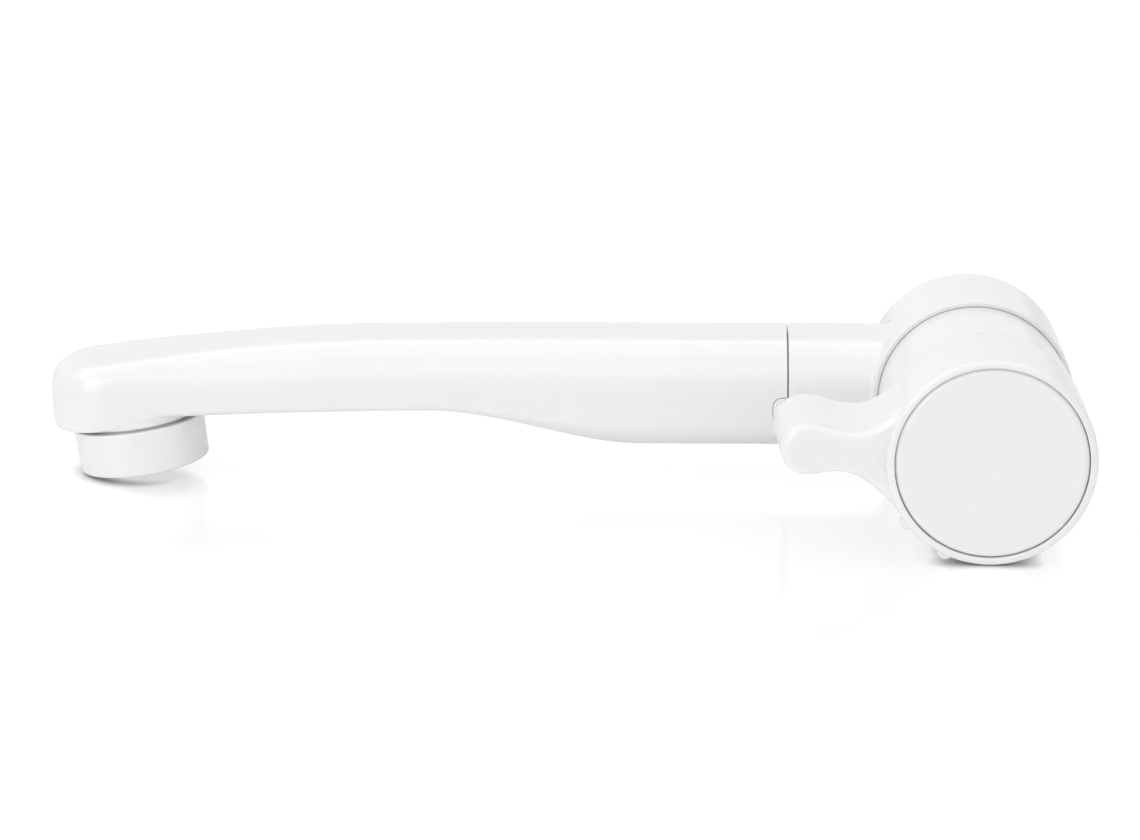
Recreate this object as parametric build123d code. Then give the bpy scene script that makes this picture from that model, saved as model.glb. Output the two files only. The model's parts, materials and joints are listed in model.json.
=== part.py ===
from build123d import *
import os
from math import cos, hypot, pi, radians, sin

# A small white plastic mixer tap. A horizontal drum carries a waved lever at its front end and, at its rear
# end, a round neck on which a long spout turns. Sizes are millimetres. The origin is the centre of the wall
# plane behind the drum. The drum axis is Y with the cap towards -Y, the spout runs towards -X and the nozzle
# points down, -Z. Places along the drum are given as Y, places along the neck and the spout as X.

# Fits shared by several pieces
RUNNING = 0.05
SEAL_SECTION = 2.0
SEAL_PLAY = 0.15
SEAL_SQUEEZE = 0.02

# Rear body of the drum
BODY_RADIUS = 20.3
BODY_FRONT = -27.7
LIP_ROUNDING = 0.7
LIP_BORE = 19.45
LIP_DEPTH = 2.2
REAR_EDGE = 0.3
WALL_GAP = 0.4

# Collar
COLLAR_REAR_RADIUS = 19.2
COLLAR_REAR = -26.9
COLLAR_FRONT = -54.5
COLLAR_EDGE = 0.15
COLLAR_WEB = (-46.5, -43.0)
SHELL_WALL = 2.0

# Handle drum, hub and cap
DRUM_LENGTH = 77.5
HANDLE_RADIUS = 20.2
HANDLE_REAR = -54.7
RIM_ROUNDING = 0.9
WEB_FRONT, WEB_REAR = -73.5, -70.5
HUB_RADIUS = 7.0
HUB_FRONT, HUB_REAR = -71.5, -63.5
CAP_RADIUS = 18.4
CAP_GAP = 0.25
CAP_STEP = 1.4
CAP_FLANGE = 18.6
CAP_THICKNESS = 2.5
CAP_FACE = 1.3
CAP_ROUNDING = 1.3
CAP_SET_BACK = 0.05
CAP_RING = (15.0, 16.5)

# Lever, seen from the front; its front face lies a little behind the rim
LEVER_FRONT = -76.6
TIP = (-35.4, 2.8)
TIP_RADIUS = 5.25
WAIST_TOP = (-25.6, 6.3)
WAIST_BOTTOM = (-30.2, -1.9)
ROOT_TOP_ANGLE = 36.0
ROOT_BOTTOM_ANGLE = -31.5
LEVER_ROUNDING = 1.0
LEVER_BEVEL = 0.4
LUG_ANGLES = (-37.7, -64.4)
LUG_RADIUS = 1.6
LUG_FRONT = -76.2
LUG_LENGTH = 3.0
LUG_BEVEL = 0.5

# Valve core: shank behind the wall plane, flange, barrel with the cartridge chamber
SHANK_RADIUS = 11.0
SHANK_LENGTH = 26.0
THREAD_END = 19.0
PILOT_RADIUS = 10.2
PILOT_EDGE = 0.6
FLANGE_RADIUS = 17.4
FLANGE_REAR, FLANGE_FRONT = -1.5, -4.5
BARREL_RADIUS = 14.95
BARREL_FRONT = -51.0
CHAMBER_RADIUS = 12.6
CHAMBER_FLOOR = -29.0
WAY_RADIUS = 3.0
WAY_OFFSET = 5.2
OUTLET_RADIUS = 2.6
OUTLET_OFFSET = 8.5
SIDE_HOLE_RADIUS = 2.2
RING_WAY_HALF = 2.4
BODY_SEALS = ((-8.2, -5.8), (-22.2, -19.8))
COLLAR_NUT_RADIUS = 17.4
COLLAR_NUT_FRONT = -50.4

# Fixing behind the panel
PANEL = 6.0
GASKET_RADIUS = 16.0
GASKET_THICKNESS = 2.0
WASHER_RADIUS = 15.5
WASHER_THICKNESS = 1.5
NUT_HALF_WIDTH = 13.0
NUT_CORNER = 15.2
NUT_THICKNESS = 6.0

# Hose tails
TAIL_THREAD = 4.0
TAIL_SOCKET = 8.0
TAIL_END = 44.0
TAIL_BORE = 2.2
TAIL_INLET = 2.7
TAIL_HEXAGON = 2.4
TAIL_HALF_WIDTH = 4.1
TAIL_STEM = 3.3
TAIL_BARB = 4.1
TAIL_BARBS = 2
TAIL_SHOULDER = 1.6

# Cartridge, from the chamber floor forwards
BASE_REAR = -29.3
BASE_FRONT = -32.8
PORT_SEAL_DEPTH = 1.2
PORT_SEAL_WALL = 1.0
DISC_RADIUS = 11.0
DISC_THICKNESS = 3.0
DISC_EDGE = 0.4
MOVING_DISC_REAR = -35.9
MOVING_DISC_FRONT = -39.4
POCKET = (2.4, 9.2)
POCKET_DEPTH = 1.6
POCKET_TOP = 2.0
SHELL_INSIDE = -43.3
SHELL_FRONT = -47.0
SHELL_SEAL = (-46.4, -44.4)
RING_NUT_FRONT = -50.6
RING_NUT_BORE = 7.0
SPINDLE_RADIUS = 4.0
SPINDLE_FLAT = 3.3
SPINDLE_FLANGE = 10.6
SCREW_RADIUS = 2.0
SCREW_END = -61.5
SCREW_HEAD_RADIUS = 3.6
SCREW_HEAD_HEIGHT = 1.9
SCREW_HEAD_ROUNDING = 0.6
SLOT_LENGTH, SLOT_WIDTH = 4.4, 0.9

# Neck and spigot
NECK_Y = -13.9
NECK_RADIUS = 12.4
NECK_END = -37.15
NECK_FILLET = 0.6
NECK_EDGE = 0.2
SPIGOT_RADIUS = 8.0
SPIGOT_BORE = 5.2
SPIGOT_START = -24.0
SPIGOT_END = -60.0
SPOUT_SEALS = ((-44.4, -42.0), (-52.4, -50.0))
CLIP_GROOVE = (-57.8, -56.6)
CLIP_DEPTH = 0.8

# Spout: round at the joint; its back stays round and its underside steps up to make it slim
SPOUT_START = -37.45
SPOUT_EDGE = 0.2
ROUND_END = -67.0
SLIM_FROM = -111.0
SLIM_DEPTH = 4.1
THINNING_FROM = -120.0
THINNING = 2.95
THINNING_POWER = 2.0
TILT_FROM = -150.0
HEAD_TILT = 4.2
SKIRT_FROM, SKIRT_TO = -164.5, -171.5
SKIRT_DEPTH = 5.6
HEAD_X = -175.8
DROOP_FROM = -70.0
DROOP = 2.6
DROOP_POWER = 2.8
ROUND = 0.5523
UNDERSIDE_SQUARE = 0.28
SKIRT_SQUARE = 0.27
BACK_SQUARE = 0.27
SHOULDER_SQUARE = 0.18
STATION_STEP = 3.6
SPOUT_WALL = 2.5
SOCKET_END = -61.5
WATERWAY = (-61.0, -172.0)
KEY_LENGTH = 3.4
KEY_TOP, KEY_BOTTOM = -0.3, -8.0
KEY_PROUD = 0.35
KEY_DEPTH = 6.0
KEY_ROUNDING = 1.3

# Nozzle; heights are measured along its own axis from its top
NOZZLE_PLACE = (-170.4, NECK_Y, -8.0)
NOZZLE_TILT = 7.8
NOZZLE_RADIUS = 13.5
NOZZLE_DRAFT = 0.25
NOZZLE_HEIGHT = 9.1
NOZZLE_LIP = 1.5
MOUTH_RADIUS = 9.9
MOUTH_ROUNDING = 0.8
TOP_EDGE = 0.25
NIPPLE_RADIUS = 11.0
NIPPLE_LENGTH = 3.2
BOSS_RADIUS = 12.35
BOSS_GAP = 0.6
JET_RADIUS = 10.9
JET_WAY = 8.5
WASHER_LOW = -4.4
SCREEN_LOW = -4.8
JET_HOLE = 0.85
JET_PITCH = 2.3
JET_RINGS = 3


def turned(*corners):
    """Solid turned about the drum axis; corners are (y, radius) of its half section."""
    return revolve(make_face(Polyline(*[(r, y) for y, r in corners], close=True)), Axis.Y)


def tube(low, high, outer, inner=0.0):
    """Plain ring or rod on the drum axis between two places on Y."""
    return turned((low, inner), (low, outer), (high, outer), (high, inner))


def rounded(y, radius, size):
    """Corners of a rounded outer edge that faces -Y, in three chords, for the outline of a turned part."""
    turns = [radians(30 * n) for n in range(4)]
    return [(y + size * (1 - cos(a)), radius - size * (1 - sin(a))) for a in turns]


def seal_ring(groove, outer):
    """Rubber ring of square section on the drum axis, in its groove."""
    low, high = groove
    return tube(low + SEAL_PLAY, high - SEAL_PLAY, outer - SEAL_SQUEEZE, outer - SEAL_SECTION + SEAL_SQUEEZE)


def drill(radius, low, high, x=0.0, z=0.0):
    """Rod along Y between two places."""
    rod = Cylinder(radius, high - low, align=(Align.CENTER, Align.CENTER, Align.MIN))
    return Pos(x, low, z) * Rot(-90, 0, 0) * rod


def upright(radius, low, high):
    """Rod along Z between two heights."""
    return Pos(0, 0, low) * Cylinder(radius, high - low, align=(Align.CENTER, Align.CENTER, Align.MIN))


def hexagon(half_width, low, high):
    """Six-sided bar on the drum axis between two places on Y."""
    return extrude(Plane.XZ.offset(-high) * RegularPolygon(half_width, 6, major_radius=False), high - low)


def on_neck(part):
    """Turns a part made on the Y axis onto the neck axis: its -Y end then points to -X."""
    return Pos(0, NECK_Y, 0) * Rot(0, 0, -90) * part


def ease(x, start, end):
    """Smooth step from 0 at start to 1 at end."""
    t = min(max((x - start) / (end - start), 0.0), 1.0)
    return t * t * (3 - 2 * t)


def grown(x, start, end, power):
    """Share that grows as a power, from 0 at start to 1 at end."""
    return max((x - start) / (end - start), 0.0) ** power


def port_places():
    """Places and radii of the cold, hot and mixed ports, as (x, z, radius)."""
    return (WAY_OFFSET, 0, WAY_RADIUS), (-WAY_OFFSET, 0, WAY_RADIUS), (0, -OUTLET_OFFSET, OUTLET_RADIUS)


def make_core():
    """Brass core: barrel with the cartridge chamber and a flange, and the shank screwed into its rear."""
    barrel = turned(
        (FLANGE_REAR, SHANK_RADIUS), (FLANGE_REAR, FLANGE_RADIUS), (FLANGE_FRONT, FLANGE_RADIUS),
        (FLANGE_FRONT, BARREL_RADIUS), (BARREL_FRONT, BARREL_RADIUS), (BARREL_FRONT, CHAMBER_RADIUS),
        (CHAMBER_FLOOR, CHAMBER_RADIUS), (CHAMBER_FLOOR, 0), (FLANGE_FRONT, 0), (FLANGE_FRONT, SHANK_RADIUS),
    )
    shank = turned(
        (FLANGE_FRONT, 0), (FLANGE_FRONT, SHANK_RADIUS), (THREAD_END, SHANK_RADIUS),
        (THREAD_END, PILOT_RADIUS), (SHANK_LENGTH - PILOT_EDGE, PILOT_RADIUS),
        (SHANK_LENGTH, PILOT_RADIUS - PILOT_EDGE), (SHANK_LENGTH, 0),
    )
    ring_way = (NECK_Y - RING_WAY_HALF, NECK_Y + RING_WAY_HALF)
    for low, high in (*BODY_SEALS, ring_way):
        barrel -= tube(low, high, BARREL_RADIUS + 1, BARREL_RADIUS - SEAL_SECTION)
    for x in (-WAY_OFFSET, WAY_OFFSET):
        way = drill(WAY_RADIUS, CHAMBER_FLOOR - 1, SHANK_LENGTH + 1, x)
        barrel -= way
        shank -= way + drill(TAIL_THREAD, SHANK_LENGTH - TAIL_SOCKET, SHANK_LENGTH + 1, x)
    barrel -= drill(OUTLET_RADIUS, CHAMBER_FLOOR - 1, NECK_Y, z=-OUTLET_OFFSET)
    barrel -= Pos(0, NECK_Y, 0) * upright(SIDE_HOLE_RADIUS, -BARREL_RADIUS, -OUTLET_OFFSET)
    return Compound(children=[barrel, shank])


def make_tail(x):
    """Hose tail: threaded end, hexagon, stem with barbs."""
    start = SHANK_LENGTH - TAIL_SOCKET
    hexagon_end = SHANK_LENGTH + TAIL_HEXAGON
    first_barb = hexagon_end + TAIL_SHOULDER
    pitch = (TAIL_END - first_barb) / TAIL_BARBS
    corners = [
        (SHANK_LENGTH, TAIL_BORE), (SHANK_LENGTH, TAIL_INLET), (start, TAIL_INLET), (start, TAIL_THREAD),
        (hexagon_end, TAIL_THREAD), (hexagon_end, TAIL_STEM), (first_barb, TAIL_STEM),
    ]
    for n in range(TAIL_BARBS):
        barb = first_barb + n * pitch
        corners += [(barb, TAIL_BARB), (barb + pitch, TAIL_STEM)]
    corners.append((TAIL_END, TAIL_BORE))
    bar = hexagon(TAIL_HALF_WIDTH, SHANK_LENGTH, hexagon_end)
    return Pos(x, 0, 0) * (turned(*corners) + (bar - drill(TAIL_BORE, SHANK_LENGTH - 1, hexagon_end + 1)))


def make_cold_tail():
    """Hose tail of the cold way."""
    return make_tail(WAY_OFFSET)


def make_hot_tail():
    """Hose tail of the hot way."""
    return make_tail(-WAY_OFFSET)


def make_wall_gasket():
    """Rubber ring behind the core's flange; its rear face lies on the wall."""
    return tube(FLANGE_REAR, 0, FLANGE_RADIUS - 0.2, SHANK_RADIUS + 0.2)


def make_backing_gasket():
    """Rubber ring behind the panel."""
    return tube(PANEL, PANEL + GASKET_THICKNESS, GASKET_RADIUS, SHANK_RADIUS + 0.1)


def make_backing_washer():
    """Steel washer between gasket and nut."""
    low = PANEL + GASKET_THICKNESS
    return tube(low, low + WASHER_THICKNESS, WASHER_RADIUS, SHANK_RADIUS + 0.1)


def make_fixing_nut():
    """Hexagon nut on the shank, with turned corners."""
    low = PANEL + GASKET_THICKNESS + WASHER_THICKNESS
    high = low + NUT_THICKNESS
    blank = turned((low, 0), (low, NUT_CORNER), (high - 1.2, NUT_CORNER), (high, NUT_CORNER - 2), (high, 0))
    return (hexagon(NUT_HALF_WIDTH, low, high) & blank) - tube(low - 1, high + 1, SHANK_RADIUS)


def make_swivel_seals():
    """Two rubber rings in the core's grooves."""
    return Compound(children=[seal_ring(groove, BARREL_RADIUS + RUNNING) for groove in BODY_SEALS])


def make_port_seals():
    """Three small rubber rings between the core and the cartridge."""
    low = BASE_REAR - PORT_SEAL_DEPTH
    rings = [Pos(x, 0, z) * tube(low, CHAMBER_FLOOR, r + PORT_SEAL_WALL, r) for x, z, r in port_places()]
    return Compound(children=rings)


def make_cartridge_base():
    """Plate with the three ports; the seals lie in its rear side."""
    base = tube(BASE_FRONT, BASE_REAR, CHAMBER_RADIUS - 0.1)
    for x, z, r in port_places():
        base -= drill(r, BASE_FRONT - 1, BASE_REAR + 1, x, z)
        base -= drill(r + PORT_SEAL_WALL, BASE_REAR - PORT_SEAL_DEPTH, BASE_REAR + 1, x, z)
    return base


def make_fixed_disc():
    """Lower ceramic disc, which stays still."""
    front = BASE_FRONT - DISC_THICKNESS
    disc = tube(front, BASE_FRONT, DISC_RADIUS)
    for x, z, r in port_places():
        disc -= drill(r - DISC_EDGE, front - 1, BASE_FRONT + 1, x, z)
    return disc


def make_moving_disc():
    """Upper ceramic disc: a curved pocket in its rear side joins the inlets to the outlet as it turns."""
    disc = tube(MOVING_DISC_FRONT, MOVING_DISC_REAR, DISC_RADIUS - 0.3)
    pocket = tube(MOVING_DISC_REAR - POCKET_DEPTH, MOVING_DISC_REAR + 1, POCKET[1], POCKET[0])
    return disc - (pocket - Pos(0, MOVING_DISC_REAR, POCKET_TOP + 10) * Box(40, 10, 20))


def make_cartridge_shell():
    """Cup that holds the discs down and guides the spindle."""
    outer = CHAMBER_RADIUS - 0.1
    shell = tube(SHELL_FRONT, BASE_FRONT, outer, DISC_RADIUS + RUNNING)
    front_wall = tube(SHELL_FRONT, SHELL_INSIDE, outer - 0.5, SPINDLE_RADIUS + RUNNING)
    return shell + front_wall - tube(*SHELL_SEAL, SPINDLE_RADIUS + SEAL_SECTION)


def make_spindle_seal():
    """Rubber ring in the shell, round the spindle."""
    return seal_ring(SHELL_SEAL, SPINDLE_RADIUS + SEAL_SECTION)


def make_cartridge_nut():
    """Ring nut with four spanner slots, which holds the cartridge down."""
    nut = tube(RING_NUT_FRONT, SHELL_FRONT, CHAMBER_RADIUS, RING_NUT_BORE)
    slot = Pos((CHAMBER_RADIUS + RING_NUT_BORE) / 2, RING_NUT_FRONT, 0) * Box(3.0, 3.0, 2.6)
    for n in range(4):
        nut -= Rot(0, 90 * n, 0) * slot
    return nut


def drive_shaft(front, rear):
    """Shaft on the drum axis whose hub length has two flats."""
    shaft = drill(SPINDLE_RADIUS, front, rear)
    for side in (-1, 1):
        flat = Pos(side * (SPINDLE_FLAT + 2), (HUB_FRONT + HUB_REAR) / 2, 0)
        shaft -= flat * Box(4, HUB_REAR - HUB_FRONT, 2 * SPINDLE_RADIUS + 1)
    return shaft


def make_spindle():
    """Brass spindle: broad drive flange on the moving disc, shaft with two flats for the handle."""
    flange_front = SHELL_INSIDE + 0.1
    spindle = tube(flange_front, MOVING_DISC_FRONT, SPINDLE_FLANGE) + drive_shaft(HUB_FRONT, flange_front)
    return spindle - drill(SCREW_RADIUS, HUB_FRONT - 1, SCREW_END + 1)


def collar_radius(y):
    """Outer radius of the collar, which narrows towards the rear body."""
    share = (y - BODY_FRONT) / (COLLAR_FRONT - BODY_FRONT)
    return COLLAR_REAR_RADIUS + (HANDLE_RADIUS - COLLAR_REAR_RADIUS) * share


def make_collar():
    """Middle sleeve of the drum: a thin tapered shell with one web that sits on the core."""
    rear_radius, front_radius = collar_radius(COLLAR_REAR), collar_radius(COLLAR_FRONT)
    collar = turned(
        (COLLAR_REAR, rear_radius - SHELL_WALL), (COLLAR_REAR, rear_radius),
        (COLLAR_FRONT + COLLAR_EDGE, front_radius), (COLLAR_FRONT, front_radius - COLLAR_EDGE),
        (COLLAR_FRONT, front_radius - SHELL_WALL),
    )
    return collar + tube(*COLLAR_WEB, rear_radius - 0.5, BARREL_RADIUS + RUNNING)


def make_collar_nut():
    """Ring nut on the core's front end, which holds the collar."""
    return tube(COLLAR_NUT_FRONT, COLLAR_WEB[0], COLLAR_NUT_RADIUS, BARREL_RADIUS)


def make_slip_ring():
    """Low-friction ring between the collar and the swivel body."""
    return tube(COLLAR_REAR + 0.1, BODY_FRONT + LIP_DEPTH - 0.1, 18.9, BARREL_RADIUS + 0.1)


def make_swivel_body():
    """Rear body of the drum with its round lip, and the neck on its side."""
    drum = turned(
        (BODY_FRONT, 0), *rounded(BODY_FRONT, BODY_RADIUS, LIP_ROUNDING),
        (-WALL_GAP - REAR_EDGE, BODY_RADIUS), (-WALL_GAP, BODY_RADIUS - REAR_EDGE), (-WALL_GAP, 0),
    )
    whole = drum + on_neck(tube(NECK_END, 0, NECK_RADIUS))
    whole = fillet(whole.edges().filter_by(GeomType.BSPLINE), NECK_FILLET)
    whole = chamfer(whole.edges().group_by(Axis.X)[0], NECK_EDGE)
    whole -= tube(BODY_FRONT - 1, 1, BARREL_RADIUS + RUNNING)
    whole -= tube(BODY_FRONT - 1, BODY_FRONT + LIP_DEPTH, LIP_BORE)
    whole -= tube(FLANGE_FRONT - 0.2, 1, FLANGE_RADIUS + 0.3)
    whole -= on_neck(tube(SPIGOT_START - 1, 0, SPIGOT_BORE))
    return whole - on_neck(tube(NECK_END - 1, SPIGOT_START, SPIGOT_RADIUS))


def make_spigot():
    """Brass tube pressed into the neck, on which the spout turns: two seal grooves and one clip groove."""
    spigot = tube(SPIGOT_END, SPIGOT_START, SPIGOT_RADIUS, SPIGOT_BORE)
    for groove in SPOUT_SEALS:
        spigot -= tube(*groove, SPIGOT_RADIUS + 1, SPIGOT_RADIUS - SEAL_SECTION)
    spigot -= tube(*CLIP_GROOVE, SPIGOT_RADIUS + 1, SPIGOT_RADIUS - CLIP_DEPTH)
    return on_neck(spigot)


def make_spout_seals():
    """Two rubber rings in the spigot's grooves."""
    rings = [on_neck(seal_ring(groove, SPIGOT_RADIUS + RUNNING)) for groove in SPOUT_SEALS]
    return Compound(children=rings)


def make_spout_clip():
    """Open snap ring half in the spigot's groove and half in the spout's."""
    low, high = CLIP_GROOVE
    inner, outer = SPIGOT_RADIUS - CLIP_DEPTH + RUNNING, SPIGOT_RADIUS + CLIP_DEPTH + 0.1
    ring = tube(low + 0.1, high - 0.1, outer, inner)
    return on_neck(ring - Pos(SPIGOT_RADIUS, (low + high) / 2, 0) * Box(6, 4, 6))


def spout_shape(x):
    """Top, side and bottom heights of the spout at one place, and how square its lower half is."""
    side = -DROOP * grown(x, DROOP_FROM, HEAD_X, DROOP_POWER)
    top = side + NECK_RADIUS - THINNING * grown(x, THINNING_FROM, HEAD_X, THINNING_POWER)
    slim = ease(x, ROUND_END, SLIM_FROM)
    skirt = ease(x, SKIRT_FROM, SKIRT_TO)
    depth = NECK_RADIUS + (SLIM_DEPTH - NECK_RADIUS) * slim + (SKIRT_DEPTH - SLIM_DEPTH) * skirt
    return top, side, side - depth, ROUND + UNDERSIDE_SQUARE * slim + SKIRT_SQUARE * skirt


def spout_outline(x, inset=0.0):
    """Closed section of the spout: its back round, flatter at the head, its underside straight-sided.

    The inset draws the section in for the waterway.
    """
    top, side, bottom, square = spout_shape(x)
    top, bottom = top - inset, bottom + inset
    head = ease(x, TILT_FROM, HEAD_X)
    back = ROUND + BACK_SQUARE * head
    shoulder = side + (ROUND + SHOULDER_SQUARE * head) * (top - side)
    edge = side + square * (bottom - side)
    quarters = []
    for w in (NECK_RADIUS - inset, inset - NECK_RADIUS):
        quarters.append(Bezier((0, top), (back * w, top), (w, shoulder), (w, side)))
        quarters.append(Bezier((w, side), (w, edge), (square * w, bottom), (0, bottom)))
    return make_face(Wire(quarters))


def station(x):
    """Upright plane across the spout, leaning back a little at the head."""
    lean = radians(HEAD_TILT * ease(x, TILT_FROM, HEAD_X))
    return Plane(origin=(x, NECK_Y, 0), x_dir=(0, 1, 0), z_dir=(cos(lean), 0, sin(lean)))


def spout_loft(start, end, inset=0.0):
    """Loft of the spout's section between two places, through evenly spaced stations."""
    count = round((start - end) / STATION_STEP)
    places = [start + (end - start) * n / count for n in range(count + 1)]
    return loft([station(x) * spout_outline(x, inset) for x in places])


def on_nozzle(part):
    """Puts a part made on the Z axis onto the nozzle's axis, its zero at the nozzle's top."""
    return Pos(*NOZZLE_PLACE) * Rot(0, -NOZZLE_TILT, 0) * part


def make_key():
    """Small flat-faced key on the front of the spout beside the joint."""
    profile = Rectangle(KEY_LENGTH, KEY_TOP - KEY_BOTTOM)
    profile = fillet(profile.vertices().sort_by(Axis.X)[:2], KEY_ROUNDING)
    rear_y = NECK_Y - NECK_RADIUS - KEY_PROUD + KEY_DEPTH
    key = extrude(Plane.XZ * profile, KEY_DEPTH)
    return Pos(SPOUT_START - KEY_LENGTH / 2, rear_y, (KEY_TOP + KEY_BOTTOM) / 2) * key


def make_spout_arm():
    """Spout: round start, lofted arm, nose turned about the head's own axis, boss with nipple, waterway."""
    start = extrude(station(ROUND_END) * spout_outline(ROUND_END), SPOUT_START - ROUND_END)
    start = chamfer(start.edges().group_by(Axis.X)[-1], SPOUT_EDGE)
    lean = radians(HEAD_TILT)
    half = spout_outline(HEAD_X) & Pos(NECK_RADIUS, 0) * Rectangle(2 * NECK_RADIUS, 60)
    nose = revolve(station(HEAD_X) * half, Axis((HEAD_X, NECK_Y, 0), (-sin(lean), 0, cos(lean))), 180)
    boss = on_nozzle(upright(NIPPLE_RADIUS, -NIPPLE_LENGTH, 3) + upright(BOSS_RADIUS, BOSS_GAP, 4))
    arm = start + spout_loft(ROUND_END, HEAD_X) + nose + boss + make_key()
    arm -= on_neck(tube(SOCKET_END, SPOUT_START + 1, SPIGOT_RADIUS + RUNNING))
    low, high = CLIP_GROOVE
    arm -= on_neck(tube(low - 0.1, high + 0.1, SPIGOT_RADIUS + CLIP_DEPTH + 0.2))
    return arm - spout_loft(*WATERWAY, SPOUT_WALL) - on_nozzle(upright(JET_WAY, -NIPPLE_LENGTH - 1, 6))


def make_nozzle():
    """Round ring under the nose, slightly tapered, with a rounded mouth and an inner step for the insert."""
    step = NOZZLE_LIP - NOZZLE_HEIGHT
    ring = turned(
        (-NOZZLE_HEIGHT, MOUTH_RADIUS),
        *rounded(-NOZZLE_HEIGHT, NOZZLE_RADIUS - NOZZLE_DRAFT, MOUTH_ROUNDING),
        (-TOP_EDGE, NOZZLE_RADIUS), (0, NOZZLE_RADIUS - TOP_EDGE),
        (0, NIPPLE_RADIUS), (step, NIPPLE_RADIUS), (step, MOUTH_RADIUS),
    )
    return on_nozzle(Rot(90, 0, 0) * ring)


def make_nozzle_seal():
    """Rubber washer between the nipple and the jet insert."""
    return on_nozzle(upright(JET_RADIUS, WASHER_LOW, -NIPPLE_LENGTH) - upright(JET_WAY, WASHER_LOW - 1, 0))


def make_jet_screen():
    """Fine screen, as a thin disc."""
    return on_nozzle(upright(JET_RADIUS, SCREEN_LOW, WASHER_LOW))


def make_jet_insert():
    """Insert with a honeycomb of six-sided jets, seen in the mouth of the nozzle."""
    hole = RegularPolygon(JET_HOLE, 6, rotation=30)
    holes = Sketch()
    for q in range(-JET_RINGS, JET_RINGS + 1):
        for r in range(max(-JET_RINGS, -q - JET_RINGS), min(JET_RINGS, -q + JET_RINGS) + 1):
            holes += Pos(JET_PITCH * (q + r / 2), JET_PITCH * r * sin(pi / 3)) * hole
    low = NOZZLE_LIP - NOZZLE_HEIGHT
    return on_nozzle(Pos(0, 0, low) * extrude(Circle(JET_RADIUS) - holes, SCREEN_LOW - low))


def lever_outline():
    """Lever seen from the front, in X and Z: round tip, drawn-in waist, roots that run into the drum."""
    r = HANDLE_RADIUS - 0.15
    a, b = radians(ROOT_TOP_ANGLE), radians(ROOT_BOTTOM_ANGLE)
    root_top = (-r * cos(a), r * sin(a))
    root_bottom = (-r * cos(b), r * sin(b))
    tip_top, tip_bottom = (TIP[0], TIP[1] + TIP_RADIUS), (TIP[0], TIP[1] - TIP_RADIUS)
    top = Spline(tip_top, WAIST_TOP, root_top, tangents=[(1, 0), (sin(a) + 0.15, cos(a))])
    bottom = Spline(tip_bottom, WAIST_BOTTOM, root_bottom, tangents=[(1, 0), (-sin(b) + 0.1, -cos(b))])
    tip = ThreePointArc(tip_top, (TIP[0] - TIP_RADIUS, TIP[1]), tip_bottom)
    inside = Polyline(root_top, (0, 0), root_bottom)
    return make_face([top, tip, bottom, inside])


def outer_edges(lever, y):
    """Edges of the lever at one end that lie outside the drum."""
    edges = lever.edges().filter_by(lambda e: abs(e.center().Y - y) < 0.01)
    return [e for e in edges if hypot(e.center().X, e.center().Z) > HANDLE_RADIUS]


def make_lever():
    """Lever over the whole length of the handle, rounded in front and bevelled behind."""
    lever = extrude(Plane.XZ.offset(-HANDLE_REAR) * lever_outline(), HANDLE_REAR - LEVER_FRONT)
    lever = fillet(outer_edges(lever, LEVER_FRONT), LEVER_ROUNDING)
    return chamfer(outer_edges(lever, HANDLE_REAR), LEVER_BEVEL)


def make_lug(angle):
    """Small round lug on the handle's rim."""
    a = radians(angle)
    reach = HANDLE_RADIUS - LUG_BEVEL
    lug = drill(LUG_RADIUS, LUG_FRONT, LUG_FRONT + LUG_LENGTH, -reach * cos(a), reach * sin(a))
    return chamfer(lug.edges().filter_by(GeomType.CIRCLE), LUG_BEVEL)


def make_handle():
    """Front part of the drum in one piece with its lever: shell, web, hub, seat for the cap."""
    shell = HANDLE_RADIUS - SHELL_WALL
    handle = make_lever() + tube(-DRUM_LENGTH + RIM_ROUNDING, HANDLE_REAR, HANDLE_RADIUS)
    for angle in LUG_ANGLES:
        handle += make_lug(angle)
    handle += turned(
        (-DRUM_LENGTH, shell), *rounded(-DRUM_LENGTH, HANDLE_RADIUS, RIM_ROUNDING),
        (-DRUM_LENGTH + RIM_ROUNDING, shell),
    )
    seat = CAP_RADIUS + CAP_GAP
    handle -= turned(
        (-DRUM_LENGTH, 0), (-DRUM_LENGTH, seat + CAP_GAP), (CAP_GAP - DRUM_LENGTH, seat),
        (WEB_FRONT, seat), (WEB_FRONT, 0),
    )
    handle -= tube(WEB_REAR, HANDLE_REAR + 1, shell)
    handle += tube(WEB_REAR - 1, HUB_REAR, HUB_RADIUS)
    handle -= drive_shaft(HUB_FRONT, HUB_REAR + 1)
    return handle - drill(SCREW_RADIUS, WEB_FRONT - 1, HUB_FRONT + 1)


def make_handle_cap():
    """Flat round cap with a rounded edge, hollow behind, with a ring that snaps into the handle."""
    front = -DRUM_LENGTH + CAP_SET_BACK
    rear = front + CAP_THICKNESS
    cap = turned(
        (front, 0), *rounded(front, CAP_RADIUS, CAP_ROUNDING), (front + CAP_STEP, CAP_RADIUS),
        (front + CAP_STEP, CAP_FLANGE), (rear, CAP_FLANGE), (rear, 0),
    )
    cap -= tube(front + CAP_FACE, rear + 1, CAP_RING[0] - 2)
    return cap + tube(rear - 0.5, WEB_FRONT - 0.1, CAP_RING[1], CAP_RING[0])


def make_handle_screw():
    """Screw with a cross-slotted pan head, behind the cap."""
    head_front = WEB_FRONT - SCREW_HEAD_HEIGHT
    head = turned(
        (head_front, 0), *rounded(head_front, SCREW_HEAD_RADIUS, SCREW_HEAD_ROUNDING),
        (WEB_FRONT, SCREW_HEAD_RADIUS), (WEB_FRONT, 0),
    )
    for length, width in ((SLOT_LENGTH, SLOT_WIDTH), (SLOT_WIDTH, SLOT_LENGTH)):
        head -= Pos(0, head_front, 0) * Box(length, 2.0, width)
    return head + tube(WEB_FRONT, SCREW_END, SCREW_RADIUS)


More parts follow.
